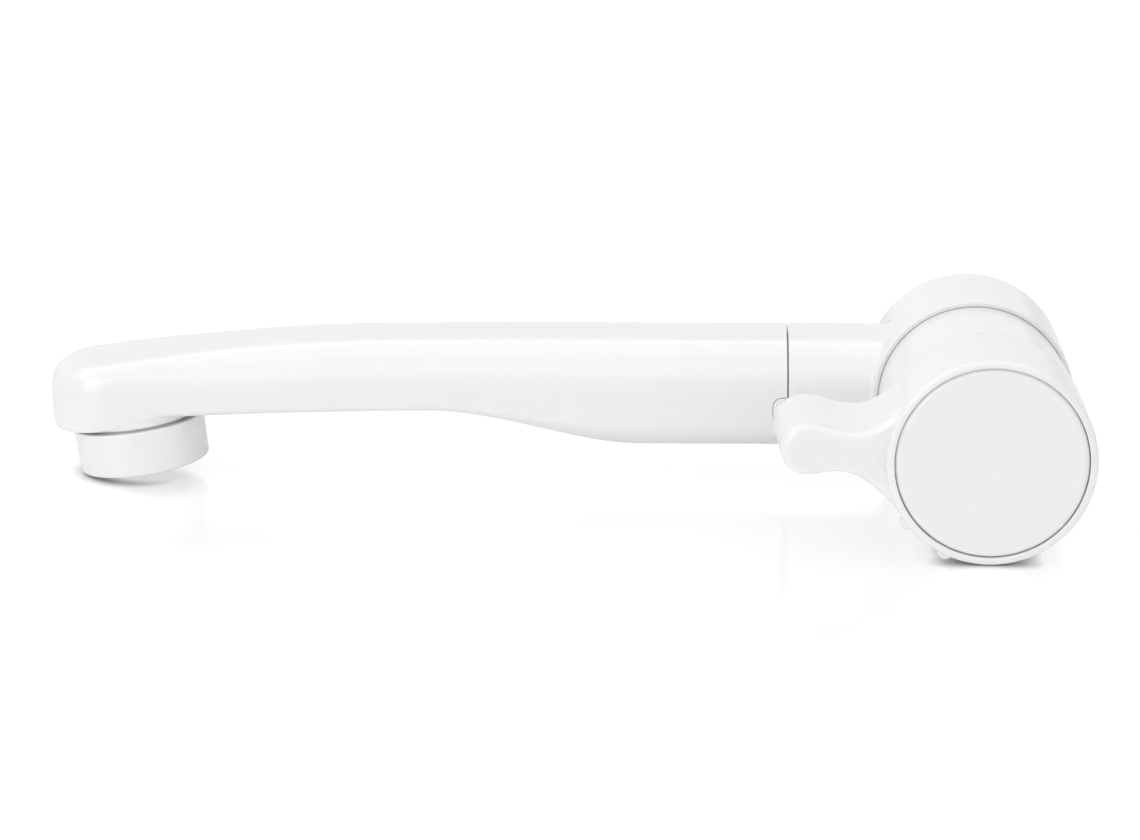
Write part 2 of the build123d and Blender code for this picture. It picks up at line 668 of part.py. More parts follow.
PARTS = {
    "core": make_core,
    "wall_gasket": make_wall_gasket,
    "backing_gasket": make_backing_gasket,
    "backing_washer": make_backing_washer,
    "fixing_nut": make_fixing_nut,
    "cold_tail": make_cold_tail,
    "hot_tail": make_hot_tail,
    "swivel_seals": make_swivel_seals,
    "port_seals": make_port_seals,
    "cartridge_base": make_cartridge_base,
    "fixed_disc": make_fixed_disc,
    "cartridge_shell": make_cartridge_shell,
    "spindle_seal": make_spindle_seal,
    "cartridge_nut": make_cartridge_nut,
    "collar": make_collar,
    "collar_nut": make_collar_nut,
    "slip_ring": make_slip_ring,
    "swivel_body": make_swivel_body,
    "spigot": make_spigot,
    "spout_seals": make_spout_seals,
    "spout_clip": make_spout_clip,
    "spout_arm": make_spout_arm,
    "nozzle": make_nozzle,
    "nozzle_seal": make_nozzle_seal,
    "jet_screen": make_jet_screen,
    "jet_insert": make_jet_insert,
    "handle": make_handle,
    "handle_cap": make_handle_cap,
    "handle_screw": make_handle_screw,
    "spindle": make_spindle,
    "moving_disc": make_moving_disc,
}

os.makedirs("parts", exist_ok=True)
for name, make in PARTS.items():
    export_step(make(), f"parts/{name}.step")
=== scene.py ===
"""Looks of a small white plastic mixer tap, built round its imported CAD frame.

The pieces are worked out in millimetres in the tap's own frame: the drum's axis is Y with the cap towards
-Y, the spout runs towards -X and the nozzle points down. Meshes and the studio are in metres.
"""
import json

import bmesh
import bpy
import numpy as np
from bpy.props import FloatProperty, FloatVectorProperty, PointerProperty
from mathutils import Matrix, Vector


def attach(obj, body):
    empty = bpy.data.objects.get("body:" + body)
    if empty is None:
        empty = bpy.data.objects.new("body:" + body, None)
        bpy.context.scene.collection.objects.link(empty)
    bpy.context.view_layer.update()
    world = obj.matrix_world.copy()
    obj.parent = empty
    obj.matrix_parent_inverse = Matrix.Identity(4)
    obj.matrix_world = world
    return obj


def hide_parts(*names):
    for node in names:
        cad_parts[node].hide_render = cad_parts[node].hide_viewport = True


bl_info = {
    "name": "Mixer tap",
    "version": (1, 0, 0),
    "blender": (4, 5, 0),
    "location": "View3D > Sidebar > Mixer tap",
    "description": "Builds a white plastic mixer tap round its CAD frame, in a plain studio",
    "category": "Object",
}

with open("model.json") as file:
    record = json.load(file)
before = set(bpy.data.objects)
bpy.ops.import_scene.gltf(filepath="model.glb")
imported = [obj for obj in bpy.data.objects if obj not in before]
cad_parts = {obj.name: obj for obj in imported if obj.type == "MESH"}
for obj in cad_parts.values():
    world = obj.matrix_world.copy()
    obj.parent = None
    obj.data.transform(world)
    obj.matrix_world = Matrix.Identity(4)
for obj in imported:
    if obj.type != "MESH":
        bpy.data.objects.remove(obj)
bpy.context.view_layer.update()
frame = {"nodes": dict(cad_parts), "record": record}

MM = 0.001

# Sizes that several pieces share, in millimetres

HANDLE_RADIUS = 20.2
NECK_Y, NECK_RADIUS = -13.9, 12.4
SHANK_RADIUS = 11.0

# The spout's head: where it starts, its last section, its lean in degrees, and how far the spout droops there

HEAD_START, HEAD_X = -150.0, -175.79
HEAD_LEAN = 4.2
DROOP = 2.6

# A solid turned piece ends at the radius POLE, where a flat face closes it. SEGMENTS points go round it

POLE = 0.5
SEGMENTS = 160


# Surfaces

def ease(x, start, end):
    """Smooth step: 3 t^2 - 2 t^3 of the share t of the way from start to end."""
    t = np.clip((x - start) / (end - start), 0.0, 1.0)
    return t * t * (3 - 2 * t)


def round_off(corners, closed=False, steps=7):
    """Outline with its corners rounded.

    Each corner is (a, b, radius). Its arc touches both neighbouring straights, and a further point a quarter
    of the radius along each straight, at most 0.12 mm, keeps the shading of the flat parts flat.
    """
    corners = np.array(corners, float)
    places, radii = corners[:, :2], corners[:, 2]
    outline = []
    for n, (corner, radius) in enumerate(zip(places, radii)):
        if not closed and n in (0, len(places) - 1):
            outline.append(corner[None])
            continue
        back = places[n - 1] - corner
        ahead = places[(n + 1) % len(places)] - corner
        back, ahead = back / np.linalg.norm(back), ahead / np.linalg.norm(ahead)
        half = np.arccos(np.clip(back @ ahead, -1, 1)) / 2
        reach = radius / np.tan(half)
        middle = corner + (back + ahead) / np.linalg.norm(back + ahead) * radius / np.sin(half)
        start, end = corner + back * reach - middle, corner + ahead * reach - middle
        turn = np.arctan2(start[0] * end[1] - start[1] * end[0], start @ end)
        a = np.linspace(0, turn, steps + 1)[:, None]
        across = np.array([-start[1], start[0]])
        arc = middle + start * np.cos(a) + across * np.sin(a)
        outer = reach + min(0.25 * radius, 0.12)
        outline += [corner[None] + back * outer, arc, corner[None] + ahead * outer]
    return np.concatenate(outline)


def full_turn(segments=SEGMENTS):
    """Angles once round a circle, in radians."""
    return np.linspace(0, 2 * np.pi, segments, endpoint=False)


def turned(profile, axis="Y", segments=SEGMENTS):
    """Surface of revolution: each profile point (along, radius) goes once round the axis."""
    a = full_turn(segments)
    along, radius = profile[:, :1] + 0 * a, profile[:, 1:]
    first, second = radius * np.cos(a), radius * np.sin(a)
    order = {"X": (along, first, second), "Y": (first, along, second), "Z": (first, second, along)}
    return np.stack(order[axis], -1)


def moved(points, place, tilt=0.0):
    """Points turned about Y by tilt degrees and then carried to a place."""
    c, s = np.cos(np.radians(tilt)), np.sin(np.radians(tilt))
    turn = np.array([[c, 0, s], [0, 1, 0], [-s, 0, c]])
    return points @ turn.T + np.array(place, float)


def carried(rings, along):
    """Rings of (a, b) points made a surface of (along, a, b) points, each ring at its own place along."""
    along = np.broadcast_to(np.reshape(along, (-1, 1, 1)), (*rings.shape[:2], 1))
    return np.concatenate([along, rings], -1)


def spline(points, first, last, steps=40):
    """Smooth curve through three points with given end directions.

    Two cubic pieces meet in the middle with equal direction and bend, which gives one equation for the middle
    direction.
    """
    points = np.array(points, float)
    chords = np.linalg.norm(np.diff(points, axis=0), axis=1)
    first, last = np.array(first) / np.linalg.norm(first), np.array(last) / np.linalg.norm(last)
    pull = 6 * (points[2] - points[1]) / chords[1] ** 2 - 6 * (points[0] - points[1]) / chords[0] ** 2
    middle = (pull - 2 * first / chords[0] - 2 * last / chords[1]) / (4 / chords[0] + 4 / chords[1])
    slopes = [first, middle, last]
    t = np.linspace(0, 1, steps)[:, None]
    pieces = []
    for n in range(2):
        h = chords[n]
        pieces.append((1 + 2 * t) * (1 - t) ** 2 * points[n] + t * (1 - t) ** 2 * h * slopes[n]
                      + t * t * (3 - 2 * t) * points[n + 1] + t * t * (t - 1) * h * slopes[n + 1])
    return np.concatenate([pieces[0], pieces[1][1:]])


def inset(outline, distance):
    """Closed counter-clockwise outline moved inwards along its normals, by one distance or one per point."""
    along = np.roll(outline, -1, 0) - np.roll(outline, 1, 0)
    along /= np.linalg.norm(along, axis=1)[:, None]
    inward = np.stack([-along[:, 1], along[:, 0]], -1)
    return outline + inward * np.reshape(distance, (-1, 1))


def rounded_block(outline, front, rear, front_edge, rear_edge, draft=0.0):
    """Outline in X and Z carried along Y from front to rear, with a quarter round at each end.

    On the round it is drawn in by 1 - sin of an angle at a distance of 1 - cos from the end. The draft, one
    number or one per point, makes the block narrower towards the front.
    """
    margin = 0.2
    a = np.linspace(0, np.pi / 2, 9)
    draw = np.concatenate([[front_edge + margin], front_edge * (1 - np.sin(a)), [0.0, 0.0],
                           rear_edge * (1 - np.sin(a[::-1])), [rear_edge + margin]])
    place = np.concatenate([[front], front + front_edge * (1 - np.cos(a)), [front + front_edge + margin],
                            [rear - rear_edge - margin], rear - rear_edge * (1 - np.cos(a[::-1])), [rear]])
    lean = (rear - place) / (rear - front) - 0.5
    draw = draw[:, None] + lean[:, None] * draft + np.zeros(len(outline))
    rings = np.stack([inset(outline, distances) for distances in draw])
    return carried(rings, place)[..., [1, 0, 2]]


def hexagon(flat, angle):
    """Radius of a hexagon at each angle: its flats' distance over the cosine of the angle from a flat."""
    return flat / np.cos(angle % (np.pi / 3) - np.pi / 6)


def pulled_in(grid, limit, inner):
    """Surface turned about Y, brought in to a largest radius where it is wider than the inner radius."""
    reach = np.hypot(grid[..., 0], grid[..., 2])
    scale = np.where(reach > inner, np.minimum(reach, limit) / reach, 1.0)
    return grid * np.stack([scale, np.ones(scale.shape), scale], -1)


# What closes a grid of points: a flat face at both end rows, one at the first row only, or the last row
# joined to the first. A half grid has none of these, and its last column isn't joined to its first either

CAPPED = ("first", "last")
CAPPED_FIRST = ("first",)
LOOPED = ("loop",)
HALF = ("half",)


def make_piece(name, shells, body, slot, replaced):
    """Closed mesh from one or more grids of points, hung on its CAD body and given its slot's finish.

    Each grid comes with what closes it, and its last column is joined to its first unless it is a half grid.
    Grids that share an edge are welded along it.
    """
    points, faces = [], []
    first = 0
    for grid, closing in shells:
        rows, columns = grid.shape[:2]
        index = first + np.arange(rows * columns).reshape(rows, columns)
        wide = index if "half" in closing else np.concatenate([index, index[:, :1]], 1)
        tall = np.concatenate([wide, wide[:1]]) if "loop" in closing else wide
        quads = np.stack([tall[:-1, :-1], tall[:-1, 1:], tall[1:, 1:], tall[1:, :-1]], -1)
        faces += quads.reshape(-1, 4).tolist()
        faces += [index[row].tolist() for word, row in (("first", 0), ("last", -1)) if word in closing]
        points.append(grid.reshape(-1, 3))
        first += rows * columns
    mesh = bpy.data.meshes.new(name)
    mesh.from_pydata(np.concatenate(points) * MM, [], faces)
    work = bmesh.new()
    work.from_mesh(mesh)
    bmesh.ops.remove_doubles(work, verts=work.verts, dist=1e-7)
    bmesh.ops.recalc_face_normals(work, faces=work.faces)
    work.to_mesh(mesh)
    work.free()
    mesh.shade_smooth()
    mesh.materials.append(bpy.data.materials[FINISH_OF_SLOT[slot]])
    piece = bpy.data.objects.new(name, mesh)
    bpy.context.scene.collection.objects.link(piece)
    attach(piece, body)
    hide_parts(replaced)


# Finishes

class Wire:
    """A socket in a shader; arithmetic on it adds Math nodes."""

    def __init__(self, board, socket):
        self.board, self.socket = board, socket

    def math(self, operation, first, second):
        """One Math node on two values."""
        return self.board.add("ShaderNodeMath", {"operation": operation}, {0: first, 1: second})

    def __add__(self, other):
        return self.math("ADD", self, other)

    def __radd__(self, other):
        return self.math("ADD", other, self)

    def __sub__(self, other):
        return self.math("SUBTRACT", self, other)

    def __rsub__(self, other):
        return self.math("SUBTRACT", other, self)

    def __mul__(self, other):
        return self.math("MULTIPLY", self, other)

    def __rmul__(self, other):
        return self.math("MULTIPLY", other, self)

    def __pow__(self, other):
        return self.math("POWER", self, other)

    def __rpow__(self, other):
        return self.math("POWER", other, self)

    def clamped(self):
        """The value held between 0 and 1."""
        return self.math("MINIMUM", self.math("MAXIMUM", self, 0.0), 1.0)


class Board:
    """A node tree in which every node comes from add()."""

    def __init__(self, tree):
        self.tree = tree
        tree.nodes.clear()

    def add(self, kind, settings=None, inputs=None, output=0):
        """Adds a node: its settings first, then the value or link of each named or numbered socket."""
        node = self.tree.nodes.new(kind)
        for key, value in (settings or {}).items():
            setattr(node, key, value)
        for key, value in (inputs or {}).items():
            if isinstance(value, Wire):
                self.tree.links.new(value.socket, node.inputs[key])
            else:
                node.inputs[key].default_value = value
        return Wire(self, node.outputs[output]) if node.outputs else node

    def other(self, wire, output):
        """Another output of the node that a wire comes from."""
        return Wire(self, wire.socket.node.outputs[output])

    def noise(self, place, scale, detail=3.0, roughness=0.5):
        """Noise between 0 and 1; scale is per metre."""
        inputs = {"Vector": place, "Scale": scale, "Detail": detail, "Roughness": roughness}
        return self.add("ShaderNodeTexNoise", {}, inputs, "Fac")

    def mixed(self, share, first, second):
        """Colour between two colours."""
        return self.add("ShaderNodeMix", {"data_type": "RGBA"}, {0: share, 6: first, 7: second}, 2)

    def shaded(self, share, colour, low, high):
        """Colour times a gain that goes from low to high with the share."""
        ends = [(*[min(1.0, part * gain) for part in colour], 1.0) for gain in (low, high)]
        return self.mixed(share, *ends)

    def stretched(self, place, scale):
        """The place with each direction scaled, for grain that runs one way."""
        return self.add("ShaderNodeMapping", {}, {"Vector": place, "Scale": scale})

    def bump(self, height, strength, depth):
        """Normal from a height between 0 and 1; depth is the height's size in metres."""
        inputs = {"Height": height, "Strength": strength, "Distance": depth}
        return self.add("ShaderNodeBump", {}, inputs, "Normal")

    def surface(self, **sockets):
        """Closes a material with its shader; sockets are named with _ for a space."""
        inputs = {key.replace("_", " "): value for key, value in sockets.items()}
        shader = self.add("ShaderNodeBsdfPrincipled", {}, inputs, "BSDF")
        self.add("ShaderNodeOutputMaterial", {}, {"Surface": shader})


def new_finish(name):
    """Empty material: its board, and the place on the object in metres."""
    material = bpy.data.materials.new(name)
    material.use_nodes = True
    board = Board(material.node_tree)
    return board, board.add("ShaderNodeTexCoord", output="Object")


def glossy_white(look):
    """Glossy moulded white: nearly even colour, a faint cloud in the gloss, a very shallow skin."""
    board, place = new_finish("glossy_white")
    cloud = board.noise(place, 60.0, detail=4.0, roughness=0.6)
    skin = board.noise(place, 900.0, detail=2.0)
    speck = board.noise(place, 4200.0, detail=1.0)
    colour = board.shaded(cloud, look.white, low=0.985, high=1.01)
    gloss = look.gloss + (cloud - 0.5) * 0.06 + (speck - 0.5) * 0.03
    normal = board.bump(skin * 0.7 + speck * 0.3, strength=0.12, depth=0.04 * MM)
    board.surface(Base_Color=colour, Roughness=gloss, Normal=normal, IOR=1.47)


def machined_brass(look):
    """Turned brass: fine rings round the drum's axis, faint stains."""
    board, place = new_finish("machined_brass")
    rings = board.noise(board.stretched(place, (150.0, 9000.0, 150.0)), 1.0, detail=2.0)
    stain = board.noise(place, 220.0, detail=4.0, roughness=0.6)
    colour = board.shaded((stain * 1.6 - 0.3).clamped(), look.brass, low=0.72, high=1.06)
    normal = board.bump(rings, strength=0.25, depth=0.03 * MM)
    board.surface(Base_Color=colour, Metallic=1.0, Roughness=0.22 + stain * 0.2, Normal=normal)


def black_rubber(look):
    """Matt black rubber with a dusty bloom."""
    board, place = new_finish("black_rubber")
    grain = board.noise(place, 2600.0)
    bloom = board.noise(place, 180.0, detail=5.0, roughness=0.65)
    colour = board.shaded((bloom * 1.4 - 0.2).clamped(), look.rubber, low=1.0, high=1.9)
    normal = board.bump(grain, strength=0.35, depth=0.05 * MM)
    board.surface(Base_Color=colour, Roughness=0.6 + bloom * 0.25, Normal=normal)


def brushed_steel(look):
    """Pressed steel with fine brush lines."""
    board, place = new_finish("brushed_steel")
    lines = board.noise(board.stretched(place, (200.0, 200.0, 7000.0)), 1.0)
    cloud = board.noise(place, 160.0)
    colour = board.shaded(cloud, look.steel, low=0.9, high=1.08)
    normal = board.bump(lines, strength=0.2, depth=0.02 * MM)
    board.surface(Base_Color=colour, Metallic=1.0, Roughness=0.27 + lines * 0.16, Normal=normal)


def lapped_ceramic(look):
    """Lapped ceramic: even off-white with a fine sparkle in the gloss."""
    board, place = new_finish("lapped_ceramic")
    grain = board.noise(place, 3000.0, detail=2.0)
    colour = board.shaded(grain, look.ceramic, low=0.96, high=1.0)
    normal = board.bump(grain, strength=0.08, depth=0.02 * MM)
    board.surface(Base_Color=colour, Roughness=0.14 + grain * 0.1, Normal=normal)


def moulded_grey(look):
    """Matt grey moulding with a spark-eroded skin."""
    board, place = new_finish("moulded_grey")
    grain = board.noise(place, 2200.0)
    cloud = board.noise(place, 120.0)
    colour = board.shaded(cloud, look.grey, low=0.93, high=1.05)
    normal = board.bump(grain, strength=0.3, depth=0.05 * MM)
    board.surface(Base_Color=colour, Roughness=0.42 + grain * 0.18, Normal=normal)


FINISH_OF_SLOT = {
    "white_plastic": "glossy_white",
    "brass": "machined_brass",
    "rubber": "black_rubber",
    "steel": "brushed_steel",
    "disc_ceramic": "lapped_ceramic",
    "grey_plastic": "moulded_grey",
}


# Settings

def length(name, description, default):
    """A length that the panel shows, in metres."""
    return FloatProperty(name=name, description=description, default=default, min=0.0, unit="LENGTH",
                         precision=5)


def tint(name, description, default):
    """A colour that the panel shows."""
    return FloatVectorProperty(name=name, description=description, default=default, subtype="COLOR", size=3,
                               min=0.0, max=1.0)


def level(name, description, default):
    """A strength of light that the panel shows."""
    return FloatProperty(name=name, description=description, default=default, min=0.0)


def power(name, description, default):
    """A lamp's power that the panel shows, in watts."""
    return FloatProperty(name=name, description=description, default=default, min=0.0, unit="POWER")


class LookSettings(bpy.types.PropertyGroup):
    """Colours and gloss of the finishes."""

    white: tint("White", "Colour of the moulded shells", (0.87, 0.87, 0.885))
    gloss: FloatProperty(name="Gloss", description="Roughness of the white shells", default=0.13, min=0.05,
                         max=1.0, subtype="FACTOR")
    brass: tint("Brass", "Colour of core, nut and hose tails", (0.72, 0.52, 0.24))
    rubber: tint("Rubber", "Colour of gaskets and seals", (0.035, 0.035, 0.037))
    steel: tint("Steel", "Colour of washer, screw and clip", (0.62, 0.62, 0.63))
    ceramic: tint("Ceramic", "Colour of the valve discs", (0.88, 0.87, 0.83))
    grey: tint("Grey plastic", "Colour of cartridge and jet insert", (0.38, 0.39, 0.4))


class DrumSettings(bpy.types.PropertyGroup):
    """Sizes of the drum's edges."""

    rim: length("Rim rounding", "Rounding of the handle's front rim", 0.00115)
    cap_edge: length("Cap rounding", "Rounding of the cap's edge", 0.0012)
    lip: length("Lip rounding", "Rounding of the rear body's lip", 0.00022)
    lever_edge: length("Lever rounding", "Rounding of the lever's front edge", 0.0018)


class SpoutSettings(bpy.types.PropertyGroup):
    """Sizes of the edges of spout and nozzle, and of the shank's thread."""

    joint_edge: length("Joint rounding", "Rounding of the spout's edge at the joint", 0.0002)
    mouth_edge: length("Mouth rounding", "Rounding of the nozzle's lower rim", 0.0008)
    pitch: length("Thread pitch", "Pitch of the shank's thread", 0.0015)


class StudioSettings(bpy.types.PropertyGroup):
    """Light levels of the studio."""

    room: level("Room light", "Strength of the even light", 0.385)
    side: level("Side light", "Further light from the spout's side", 0.42)
    ahead: level("Front light", "Further light from the cap's side", 0.31)
    top: power("Top lamp", "Power of the overhead lamp", 3.0)
    front: power("Front lamp", "Power of the front lamp's reflection", 4.6)
    fill: power("Left lamp", "Power of the left lamp's reflection", 5.0)
    corner: power("Corner lamp", "Power of the upper left lamp's reflection", 1.2)
    sheen: power("Sheen", "Power of the broad overhead lamp's reflection", 2.2)
    gleam: power("Gleam", "Power of the narrow overhead lamp's reflection", 1.5)


# Drum

def on_drum(radius, angle):
    """Point in X and Z at a radius from the drum's axis and an angle above the spout's direction."""
    return radius * np.stack([-np.cos(angle), np.sin(angle)], -1)


def cap_disc(sizes):
    """Flat disc turned about the drum's axis, with a rounded front edge and a slightly wider foot."""
    face, foot, back = -77.45, -76.1, -74.95
    radius, foot_radius = 18.56, 18.6
    profile = round_off([(face, POLE, 0), (face, radius, sizes.cap_edge / MM), (foot, radius, 0.01),
                         (foot, foot_radius, 0.01), (back, foot_radius, 0.1), (back, POLE, 0)], steps=10)
    return [(turned(profile), CAPPED)]


# Number of points that close the lever's outline inside the drum

HIDDEN = 24


def lever_outline():
    """The lever in X and Z, counter-clockwise: upper side, tip arc, lower side, points inside the drum.

    Each side is a smooth curve that leaves the tip level, passes its waist and meets the drum almost along
    the drum's own surface.
    """
    upper, lower = np.radians(36.0), np.radians(-33.0)
    root_radius, hidden_radius, overlap = 20.05, 19.05, 0.07
    upper_waist, lower_waist = (-25.6, 5.95), (-29.4, -2.5)
    tip, tip_radius = np.array([-35.25, 2.25]), 5.4
    top = spline([tip + (0, tip_radius), upper_waist, on_drum(root_radius, upper)], (1, 0),
                 (np.sin(upper) + 0.15, np.cos(upper)))
    bottom = spline([tip - (0, tip_radius), lower_waist, on_drum(root_radius, lower)], (1, 0),
                    (-np.sin(lower) + 0.1, -np.cos(lower)))
    arc = tip + on_drum(tip_radius, np.linspace(-np.pi / 2, np.pi / 2, 60)[1:-1])
    inside = on_drum(hidden_radius, np.linspace(lower - overlap, upper + overlap, HIDDEN))
    return np.concatenate([top[::-1], arc[::-1], bottom, inside])


def handle_shell(sizes):
    """Drum shell turned about its axis, the lever carried along it, and two small round lugs on the rim.

    Points of the lever that lie nearer to the axis than the middle of the shell's wall are pushed out into
    it, and the lever's draft fades in outside the drum.
    """
    front, rear, seat, web = -77.5, -54.7, -73.5, -70.5
    cap_bore, bore, wall_radius = 18.65, 18.2, 19.3
    profile = round_off([
        (seat, POLE, 0), (seat, cap_bore, 0.3), (front, cap_bore, 0.2),
        (front, HANDLE_RADIUS, sizes.rim / MM), (rear, HANDLE_RADIUS, 0.05), (rear, bore, 0.3),
        (web, bore, 0.3), (web, POLE, 0)])
    lever_front, full_draft = -76.6, 0.8
    outline = lever_outline()
    draft = full_draft * ease(np.hypot(*outline.T), 21.0, 28.0)
    lever = rounded_block(outline, lever_front, rear, sizes.lever_edge / MM, 0.5, draft)
    reach = np.hypot(lever[..., 0], lever[..., 2])
    lever[..., ::2] *= np.maximum(wall_radius / reach, 1.0)[..., None]
    lever[:, -HIDDEN:, ::2] = outline[-HIDDEN:]
    shells = [(turned(profile), CAPPED), (lever, CAPPED)]
    lug_front, lug_rear, lug_radius, lug_circle = -76.2, -73.2, 1.6, 19.7
    lug = round_off([(lug_front, 0.1, 0), (lug_front, lug_radius, 0.6), (lug_rear, lug_radius, 0.6),
                     (lug_rear, 0.1, 0)])
    for angle in np.radians((-37.7, -64.4)):
        x, z = on_drum(lug_circle, angle)
        shells.append((moved(turned(lug, segments=40), (x, 0, z)), CAPPED))
    return shells


def collar_sleeve():
    """Tapered sleeve: its four-cornered outline is turned about the drum's axis."""
    front, rear, rear_radius, wall = -54.5, -26.9, 19.23, 2.0
    profile = round_off([
        (front, HANDLE_RADIUS, 0.05), (rear, rear_radius, 0.1), (rear, rear_radius - wall, 0.1),
        (front, HANDLE_RADIUS - wall, 0.1)], closed=True, steps=4)
    return [(turned(profile), LOOPED)]


def rear_body(sizes):
    """Turned drum with a lip whose face slopes inwards, and a neck whose foot flares into the drum.

    At the foot the neck's radius grows by 1 - cos of an angle while its distance from the drum's own surface,
    x = -sqrt(R^2 - z^2), shrinks by sin.
    """
    lip, slope, land, rear, flange_seat = -27.7, -27.47, -27.0, -0.4, -4.7
    outer, flange_bore, core_bore = 20.3, 17.7, 15.0
    drum = turned(round_off([
        (lip, outer, sizes.lip / MM), (rear, outer, 0.4), (rear, flange_bore, 0.2),
        (flange_seat, flange_bore, 0.3), (flange_seat, core_bore, 0.3), (land, core_bore, 0.3),
        (land, 19.37, 0.02), (slope, 19.37, 0.02), (lip, 19.95, 0.02)], closed=True))
    hidden, end, step, bore, step_radius = -30.0, -37.42, -37.15, 8.0, 10.6
    neck = turned(round_off([
        (hidden, bore, 0), (end, bore, 0.05), (end, step_radius, 0.05), (step, step_radius + 0.1, 0.05),
        (step, NECK_RADIUS, 0.25), (hidden, NECK_RADIUS, 0)]), "X")[..., [0, 2, 1]] + (0, NECK_Y, 0)
    foot = 0.8
    a = np.linspace(0, np.pi / 2, 9)[:, None]
    radius = NECK_RADIUS + foot * (1 - np.cos(a)) + 0 * full_turn()
    side, up = radius * np.sin(full_turn()), radius * np.cos(full_turn())
    flare = np.stack([-np.sqrt(outer ** 2 - up ** 2) - foot * (1 - np.sin(a)), NECK_Y + side, up], -1)
    sunk = flare[-1:] * (0.94, 0.96, 0.94) + (0, 0.04 * NECK_Y, 0)
    return [(drum, LOOPED), (np.concatenate([neck, flare, sunk]), CAPPED)]


# Spout and nozzle

def spout_sections(x):
    """Closed sections of the spout at places x, four cubic quarters each, as width and height.

    The back is round, and flatter at the head. The underside is as deep as the back at the joint, rises
    between x = -67 and -111 and drops again into the skirt over the nozzle. The whole droops with a power of
    the distance.
    """
    x = np.asarray(x, float)[:, None]

    def share(start):
        """Share of the way from a start to the last section, 0 before the start."""
        return np.clip((start - x) / (start - HEAD_X), 0, None)

    thinning, rise, skirt_depth = 2.95, 8.3, 1.75
    slim, skirt, head = ease(x, -67.0, -111.0), ease(x, -164.5, -171.5), ease(x, HEAD_START, HEAD_X)
    side = -DROOP * share(-70.0) ** 2.8
    top = side + NECK_RADIUS - thinning * share(-120.0) ** 2
    bottom = side - (NECK_RADIUS - rise * slim + skirt_depth * skirt)
    # A cubic quarter is round where its inner corners stand at this share of its width and height.
    circle = 0.5523
    under = circle + 0.28 * slim + 0.27 * skirt
    back = circle + 0.27 * head
    shoulder = side + (circle + 0.18 * head) * (top - side)
    edge = side + under * (bottom - side)
    wide, middle = NECK_RADIUS + 0 * x, 0 * x
    t = np.linspace(0, 1, 32, endpoint=False)
    weights = [(1 - t) ** 3, 3 * (1 - t) ** 2 * t, 3 * (1 - t) * t * t, t ** 3]

    def curve(*corners):
        """One cubic quarter: the sum of its four corners, each times its weight."""
        return np.stack([sum(w * corner[n] for w, corner in zip(weights, corners)) for n in (0, 1)], -1)

    return np.concatenate([
        curve((middle, top), (back * wide, top), (wide, shoulder), (wide, side)),
        curve((wide, side), (wide, edge), (under * wide, bottom), (middle, bottom)),
        curve((middle, bottom), (-under * wide, bottom), (-wide, edge), (-wide, side)),
        curve((-wide, side), (-wide, shoulder), (-back * wide, top), (middle, top)),
    ], 1)


def stand(sections, x):
    """Sections stood up at their places along the spout, leaning back a little at the head."""
    lean = np.radians(HEAD_LEAN) * ease(x, HEAD_START, HEAD_X)[:, None]
    side, high = sections[..., 0], sections[..., 1]
    return np.stack([x[:, None] - high * np.sin(lean), NECK_Y + side, high * np.cos(lean)], -1)


def spout_nose(last):
    """One half of the last section turned half round its middle, leaning as that section does.

    Below the middle it sinks in proportion to its distance from the section, so that it follows the nozzle.
    """
    half = last[:len(last) // 2 + 1]
    turn = np.linspace(0, np.pi, 97)
    lean = np.radians(HEAD_LEAN)
    out, side, up = half[:, :1] * np.sin(turn), half[:, :1] * np.cos(turn), half[:, 1:] + 0 * turn
    up = up - np.clip(-DROOP - up, 0, None) * 0.12 * out / NECK_RADIUS
    return np.stack([HEAD_X - out * np.cos(lean) - up * np.sin(lean), NECK_Y + side,
                     -out * np.sin(lean) + up * np.cos(lean)], -1)


def on_nozzle(points):
    """Points about the Z axis carried to the nozzle, which leans towards the joint."""
    return moved(points, (-170.4, NECK_Y, -8.0), tilt=-7.8)


def key_outline():
    """Outline in X and Z of the small flat key beside the joint, with two rounded corners."""
    low, high, left, right = -5.2, -0.1, -40.25, -37.6
    return round_off([(left, high, 1.8), (left, low, 1.8), (right, low, 0.1), (right, high, 0.1)],
                     closed=True, steps=8)


def key_block():
    """The key's outline carried straight back into the spout."""
    front, depth = NECK_Y - NECK_RADIUS - 0.35, 5.0
    return rounded_block(key_outline(), front, front + depth, 0.25, 0.2)


def key_gap_shade():
    """Thin dark strip round the key that paints the shade of the gap there: its outline widened and laid on
    the spout, y = -sqrt(R^2 - z^2).
    """
    insets, heights, right = (0.05, 0.05, -0.12, -0.12), (-0.2, 0.03, 0.03, -0.2), -37.7
    rows = []
    for distance, height in zip(insets, heights):
        x, z = inset(key_outline(), distance).T
        y = NECK_Y - np.sqrt((NECK_RADIUS + height) ** 2 - z ** 2)
        rows.append(np.stack([np.minimum(x, right), y, z], -1))
    return [(np.stack(rows), LOOPED)]


